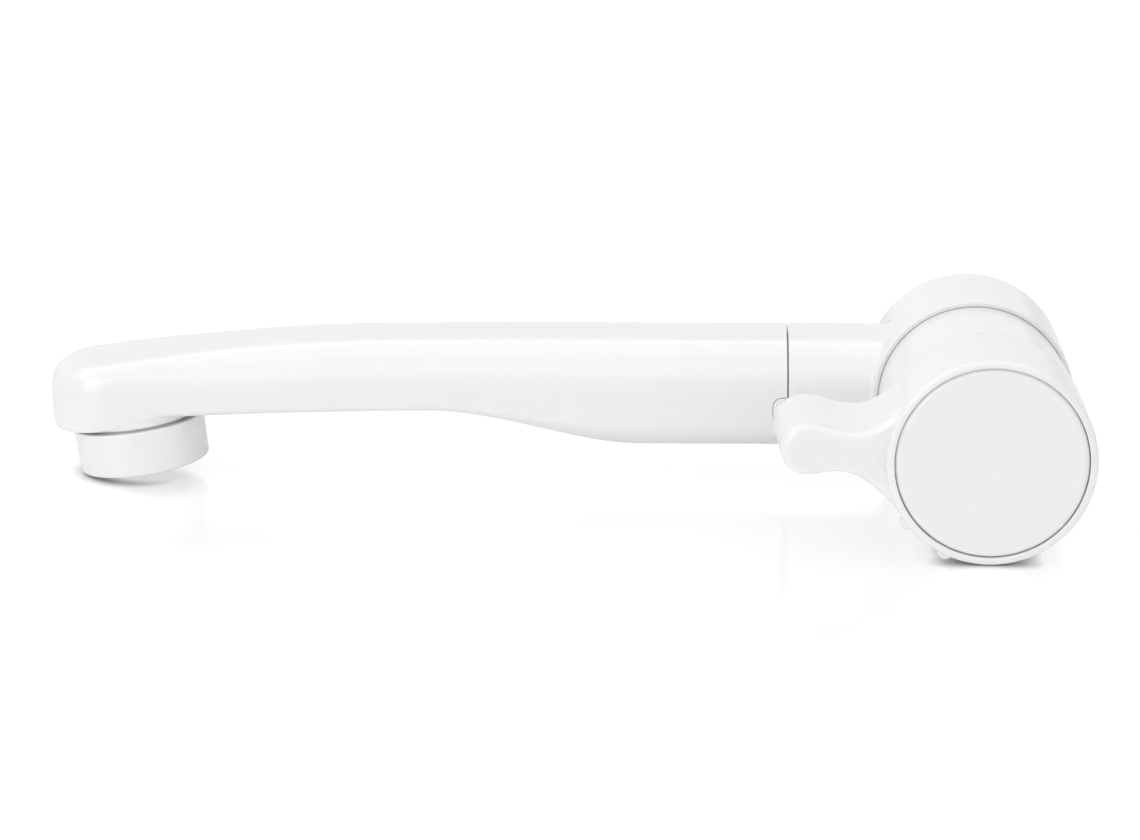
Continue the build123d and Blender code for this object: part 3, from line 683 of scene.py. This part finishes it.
def spout(sizes):
    """Spout: the mouth and the sections after it, the nose, a boss that holds the nozzle, and the key."""
    mouth_end, joint, bore, first = -45.0, -37.45, 8.05, -40.0
    profile = round_off([(mouth_end, bore, 0), (joint, bore, 0.2),
                         (joint, NECK_RADIUS, sizes.joint_edge / MM), (first, NECK_RADIUS, 0)])
    rings = profile[:, None, 1:] * (spout_sections([first]) / NECK_RADIUS)
    mouth = carried(rings, profile[:, 0]) + (0, NECK_Y, 0)
    x = np.concatenate([np.arange(-42.0, -66.0, -3.0), np.arange(-66.0, HEAD_X, -0.9), [HEAD_X]])
    sections = spout_sections(x)
    boss = turned(round_off([(4.0, POLE, 0), (4.0, 12.35, 0.3), (0.6, 12.35, 0.15), (0.6, 11.0, 0.1),
                             (-3.2, 11.0, 0.3), (-3.2, POLE, 0)]), "Z")
    return [(np.concatenate([mouth, stand(sections, x)]), CAPPED_FIRST), (spout_nose(sections[-1]), HALF),
            (on_nozzle(boss), CAPPED), (key_block(), CAPPED)]


def nozzle_ring(sizes):
    """Slightly tapered ring with a rounded lower rim and an inner step that holds the jet insert."""
    rim, step, mouth_bore, bore = -9.1, -7.6, 9.9, 11.0
    profile = round_off([(0, 13.5, 0.3), (rim, 13.25, sizes.mouth_edge / MM), (rim, mouth_bore, 0.3),
                         (step, mouth_bore, 0.12), (step, bore, 0.1), (0, bore, 0.2)], closed=True)
    return [(on_nozzle(turned(profile, "Z")), LOOPED)]


# Fixing behind the drum

def shank(sizes):
    """Brass core as far as it shows: flange, plain neck and a threaded shank.

    Thread: radius = R - depth * (1 - |2 frac(y / pitch + turn) - 1|), faded in at its start.
    """
    pitch, depth, segments = sizes.pitch / MM, 0.75, 120
    thread_start, full_depth, thread_end = 1.6, 4.0, 19.0
    y = np.linspace(thread_start, thread_end, 230)[:, None]
    turn = np.linspace(0, 1, segments, endpoint=False)
    wave = 1 - np.abs(2 * ((y / pitch + turn) % 1.0) - 1)
    radius = SHANK_RADIUS - depth * wave * ease(y, thread_start, full_depth)
    a = 2 * np.pi * turn
    thread = np.stack([radius * np.cos(a), y + 0 * a, radius * np.sin(a)], -1)
    front, shoulder, flange, wall = -46.0, -30.0, -4.5, -1.5
    core = round_off([(front, POLE, 0), (front, 12.0, 0.3), (shoulder, 12.0, 0.3), (shoulder, 14.9, 0.3),
                      (flange, 14.9, 0.3), (flange, 17.4, 0.3), (wall, 17.4, 0.3), (wall, SHANK_RADIUS, 0.3),
                      (1.2, SHANK_RADIUS, 0)])
    end = round_off([(19.1, 10.2, 0), (25.4, 10.2, 0.2), (26.0, 9.6, 0.2), (26.0, POLE, 0)])
    surface = [turned(core, segments=segments), thread, turned(end, segments=segments)]
    return [(np.concatenate(surface), CAPPED)]


def ring(front, rear, inner, outer, edge):
    """Plain ring on the drum's axis with softened edges."""
    corners = [(front, inner, edge), (front, outer, edge), (rear, outer, edge), (rear, inner, edge)]
    profile = round_off(corners, closed=True, steps=4)
    return [(turned(profile), LOOPED)]


def fixing_nut():
    """Hexagon nut: the outer radius at each angle is that of the hexagon, cut down by a cone at both ends."""
    front, rear, blank, corner, segments = 9.5, 15.5, 16.5, 15.1, 240
    profile = round_off([(front, SHANK_RADIUS, 0.2), (front, blank, 0.3), (rear, blank, 0.3),
                         (rear, SHANK_RADIUS, 0.2)], closed=True, steps=5)
    grid = turned(profile, segments=segments)
    sides = hexagon(13.0, full_turn(segments) + np.pi / 6)
    sides = sides - 0.25 * ease(sides, 14.6, corner)
    (front_length, front_depth), (rear_length, rear_depth) = (0.5, 0.5), (1.1, 1.8)
    front_share = np.clip((front + front_length - grid[..., 1]) / front_length, 0, 1)
    rear_share = np.clip((grid[..., 1] - (rear - rear_length)) / rear_length, 0, 1)
    cone = corner - rear_depth * rear_share - front_depth * front_share
    return [(pulled_in(grid, np.minimum(sides, cone), inner=12.0), LOOPED)]


def hose_tail(x):
    """Barbed tail: saw-tooth outline turned about its own axis, with a hexagon at its foot and a bore."""
    bore, stem, barb = 2.2, 3.3, 4.1
    tail = turned(round_off([
        (20.0, bore, 0.1), (20.0, 3.9, 0.1), (28.4, 3.9, 0.1), (28.4, stem, 0.1), (30.0, stem, 0.1),
        (30.0, barb, 0.15), (37.0, stem, 0.1), (37.0, barb, 0.15), (44.0, stem, 0.2), (44.0, bore, 0.2)],
        closed=True, steps=3), segments=64)
    front, rear, foot_bore, blank, segments = 26.0, 28.4, 2.3, 4.7, 96
    foot = turned(round_off([(front, foot_bore, 0.1), (front, blank, 0.2), (rear, blank, 0.25),
                             (rear, foot_bore, 0.1)], closed=True, steps=4), segments=segments)
    foot = pulled_in(foot, hexagon(4.1, full_turn(segments)), inner=3.5)
    return [(moved(tail, (x, 0, 0)), LOOPED), (moved(foot, (x, 0, 0)), LOOPED)]


# Studio

CAMERA_PLACE = (-0.065525, -0.8501, 0.205245)
CAMERA_ANGLES = (75.7, 0.0, 1.1)
CAMERA_LENS, CAMERA_SENSOR = 132.63, 36.0
CAMERA_NEAR, CAMERA_FAR = 0.01, 50.0
FLOOR_HEIGHT, FLOOR_SLOPE, FLOOR_REACH = -0.0203, -0.00837, 6.0
LAMP_TARGET = (-0.08, 0.0, 0.0)
WHITE, BLACK = (1, 1, 1, 1), (0, 0, 0, 1)


def floor_finish():
    """Pale, slightly polished floor; the camera sees it white, with the shadows close to the object, partly
    real and partly painted into its glow by ambient occlusion.
    """
    board, place = new_finish("studio_floor")
    seen = board.add("ShaderNodeLightPath", output="Is Camera Ray")
    tone = board.mixed(board.noise(place, 6.0), (0.845, 0.845, 0.845, 1), (0.855, 0.855, 0.855, 1))
    near = board.add("ShaderNodeAmbientOcclusion", {"samples": 16}, {"Distance": 2.8 * MM}, "AO")
    pale = board.add("ShaderNodeBsdfDiffuse", {}, {"Color": tone})
    polish = board.add("ShaderNodeBsdfGlossy", {}, {"Color": WHITE, "Roughness": 0.14})
    # Painted contact shadow: the glow's colour goes dark where ambient occlusion finds the object close.
    painted_contact_shadow = board.mixed(near ** 0.9, BLACK, WHITE)
    glow = board.add("ShaderNodeEmission", {}, {"Color": painted_contact_shadow, "Strength": 1.18})
    plain = board.add("ShaderNodeMixShader", {}, {0: 0.3 + seen * 0.25, 1: pale, 2: polish})
    shown = board.add("ShaderNodeMixShader", {}, {0: seen * 0.55, 1: plain, 2: glow})
    board.add("ShaderNodeOutputMaterial", {}, {"Surface": shown})
    return bpy.data.materials["studio_floor"]


def lay_floor(scene):
    """Large flat floor under the drum, sloping a little so that the nozzle stands on it too."""
    sides = ((-FLOOR_REACH, -FLOOR_REACH), (FLOOR_REACH, -FLOOR_REACH), (FLOOR_REACH, FLOOR_REACH),
             (-FLOOR_REACH, FLOOR_REACH))
    corners = [(x, y, FLOOR_HEIGHT + FLOOR_SLOPE * x) for x, y in sides]
    mesh = bpy.data.meshes.new("floor")
    mesh.from_pydata(corners, [], [(0, 1, 2, 3)])
    mesh.materials.append(floor_finish())
    floor = bpy.data.objects.new("floor", mesh)
    scene.collection.objects.link(floor)


def soft_lamp(scene, name, place, target, size, watts):
    """Rectangular area lamp at a place, turned to face a target."""
    lamp = bpy.data.lights.new(name, "AREA")
    lamp.shape = "RECTANGLE"
    lamp.size, lamp.size_y = size
    lamp.energy = watts
    holder = bpy.data.objects.new(name, lamp)
    holder.location = place
    holder.rotation_euler = (Vector(target) - Vector(place)).to_track_quat("-Z", "Y").to_euler()
    scene.collection.objects.link(holder)
    return holder


def hang_lamps(scene, studio):
    """One overhead lamp that lights everything, and five lamps that show only as reflections in the gloss."""
    soft_lamp(scene, "top_lamp", (-0.08, -0.18, 0.9), (-0.08, -0.18, 0.0), (1.8, 0.66), studio.top)
    lamps = (("front_lamp", (-0.08, -0.95, 0.85), (1.8, 0.75), studio.front),
             ("left_lamp", (-0.9, -1.1, 0.5), (0.9, 0.9), studio.fill),
             ("corner_lamp", (-0.95, -0.3, 0.72), (0.5, 0.5), studio.corner),
             ("sheen_lamp", (-0.08, -0.18, 0.9), (1.8, 0.5), studio.sheen),
             ("gleam_lamp", (-0.08, 0.12, 0.9), (1.8, 0.17), studio.gleam))
    for name, place, size, watts in lamps:
        soft_lamp(scene, name, place, LAMP_TARGET, size, watts).visible_diffuse = False


def light_room(scene, studio):
    """World that the camera and the gloss see white; more light comes from the spout's and the cap's side."""
    world = bpy.data.worlds.new("studio_world")
    world.use_nodes = True
    scene.world = world
    board = Board(world.node_tree)
    seen = board.add("ShaderNodeLightPath", output="Is Camera Ray")
    mirrored = board.other(seen, "Is Glossy Ray")
    direction = board.add("ShaderNodeTexCoord", output="Generated")
    right = board.add("ShaderNodeSeparateXYZ", inputs={0: direction}, output="X")
    away = board.other(right, "Y")
    lit = studio.room + (1 - right) * (studio.side / 2) + (1 - away) * (studio.ahead / 2)
    white = (seen + mirrored).clamped()
    strength = white + (1 - white) * lit
    sky = board.add("ShaderNodeBackground", {}, {"Color": WHITE, "Strength": strength})
    board.add("ShaderNodeOutputWorld", {}, {"Surface": sky})


def set_camera(scene):
    """Camera at the photograph's place and angle."""
    camera = bpy.data.cameras.new("camera")
    camera.lens, camera.sensor_width = CAMERA_LENS, CAMERA_SENSOR
    camera.clip_start, camera.clip_end = CAMERA_NEAR, CAMERA_FAR
    eye = bpy.data.objects.new("camera", camera)
    eye.location = CAMERA_PLACE
    eye.rotation_euler = np.radians(CAMERA_ANGLES)
    scene.collection.objects.link(eye)
    scene.camera = eye


# Operators

class TapOperator:
    """Shared by the operators: undo, and the need for a scene."""

    bl_options = {"REGISTER", "UNDO"}

    @classmethod
    def poll(cls, context):
        return context.scene is not None


class TAP_OT_finishes(TapOperator, bpy.types.Operator):
    """Make the finishes and put them on the CAD pieces"""

    bl_idname = "tap.finishes"
    bl_label = "Finishes"

    def execute(self, context):
        for make in (glossy_white, machined_brass, black_rubber, brushed_steel, lapped_ceramic, moulded_grey):
            make(context.scene.tap_look)
        slots = {part["node"]: part["material_slot"] for part in frame["record"]["subparts"]}
        for node, part in frame["nodes"].items():
            part.data.materials.clear()
            part.data.materials.append(bpy.data.materials[FINISH_OF_SLOT[slots[node]]])
        return {"FINISHED"}


class TAP_OT_handle(TapOperator, bpy.types.Operator):
    """Build the handle with its lever, and the cap in its rim"""

    bl_idname = "tap.handle"
    bl_label = "Handle and cap"

    def execute(self, context):
        sizes = context.scene.tap_drum
        make_piece("handle_shell", handle_shell(sizes), "handle", "white_plastic", "handle")
        make_piece("cap_disc", cap_disc(sizes), "handle", "white_plastic", "handle_cap")
        return {"FINISHED"}


class TAP_OT_body(TapOperator, bpy.types.Operator):
    """Build the collar and the rear body with its neck"""

    bl_idname = "tap.body"
    bl_label = "Collar and rear body"

    def execute(self, context):
        make_piece("collar_sleeve", collar_sleeve(), "base", "white_plastic", "collar")
        make_piece("rear_body", rear_body(context.scene.tap_drum), "swivel", "white_plastic", "swivel_body")
        return {"FINISHED"}


class TAP_OT_spout(TapOperator, bpy.types.Operator):
    """Build the spout with its key, and the nozzle ring"""

    bl_idname = "tap.spout"
    bl_label = "Spout and nozzle"

    def execute(self, context):
        sizes = context.scene.tap_spout
        make_piece("spout", spout(sizes), "spout", "white_plastic", "spout_arm")
        # Dark strip in the rubber finish: painted shade of the gap round the key.
        make_piece("key_gap_shade", key_gap_shade(), "spout", "rubber", "spout_arm")
        make_piece("nozzle_ring", nozzle_ring(sizes), "spout", "white_plastic", "nozzle")
        return {"FINISHED"}


class TAP_OT_fixing(TapOperator, bpy.types.Operator):
    """Build the threaded shank, gaskets, washer, nut and hose tails behind the drum"""

    bl_idname = "tap.fixing"
    bl_label = "Fixing and hose tails"

    def execute(self, context):
        washer = ring(front=8.0, rear=9.5, inner=11.1, outer=15.5, edge=0.25)
        rear_gasket = ring(front=6.0, rear=8.0, inner=11.1, outer=16.0, edge=0.35)
        front_gasket = ring(front=-1.5, rear=0.0, inner=11.2, outer=17.2, edge=0.2)
        tail_x = 5.2
        make_piece("shank", shank(context.scene.tap_spout), "base", "brass", "core")
        make_piece("nut", fixing_nut(), "base", "brass", "fixing_nut")
        make_piece("washer", washer, "base", "steel", "backing_washer")
        make_piece("rear_gasket", rear_gasket, "base", "rubber", "backing_gasket")
        make_piece("front_gasket", front_gasket, "base", "rubber", "wall_gasket")
        make_piece("cold_tail_turned", hose_tail(tail_x), "base", "brass", "cold_tail")
        make_piece("hot_tail_turned", hose_tail(-tail_x), "base", "brass", "hot_tail")
        return {"FINISHED"}


class TAP_OT_studio(TapOperator, bpy.types.Operator):
    """Set the floor, the light and the camera"""

    bl_idname = "tap.studio"
    bl_label = "Studio"

    def execute(self, context):
        scene, studio = context.scene, context.scene.tap_studio
        scene.view_settings.view_transform = "Standard"
        lay_floor(scene)
        hang_lamps(scene, studio)
        light_room(scene, studio)
        set_camera(scene)
        return {"FINISHED"}


class TAP_PT_panel(bpy.types.Panel):
    """Sidebar panel with the settings and one button for each group of pieces"""

    bl_idname = "TAP_PT_panel"
    bl_label = "Mixer tap"
    bl_space_type = "VIEW_3D"
    bl_region_type = "UI"
    bl_category = "Mixer tap"

    def draw(self, context):
        groups = (("tap_look", ("tap.finishes",)), ("tap_drum", ("tap.handle", "tap.body")),
                  ("tap_spout", ("tap.spout", "tap.fixing")), ("tap_studio", ("tap.studio",)))
        for settings, buttons in groups:
            box = self.layout.box()
            group = getattr(context.scene, settings)
            for key in group.__annotations__:
                box.prop(group, key)
            for button in buttons:
                box.operator(button)


SETTINGS = {"tap_look": LookSettings, "tap_drum": DrumSettings, "tap_spout": SpoutSettings,
            "tap_studio": StudioSettings}
CLASSES = (*SETTINGS.values(), TAP_OT_finishes, TAP_OT_handle, TAP_OT_body, TAP_OT_spout, TAP_OT_fixing,
           TAP_OT_studio, TAP_PT_panel)


def register():
    """Makes the classes known to Blender and gives each scene its settings."""
    for cls in CLASSES:
        bpy.utils.register_class(cls)
    for name, cls in SETTINGS.items():
        setattr(bpy.types.Scene, name, PointerProperty(type=cls))


def unregister():
    """Takes the settings and classes away again."""
    for name in SETTINGS:
        delattr(bpy.types.Scene, name)
    for cls in reversed(CLASSES):
        bpy.utils.unregister_class(cls)


def main():
    """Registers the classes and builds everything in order."""
    register()
    tap = bpy.ops.tap
    for build in (tap.finishes, tap.handle, tap.body, tap.spout, tap.fixing, tap.studio):
        build()


if __name__ == "__main__":
    main()
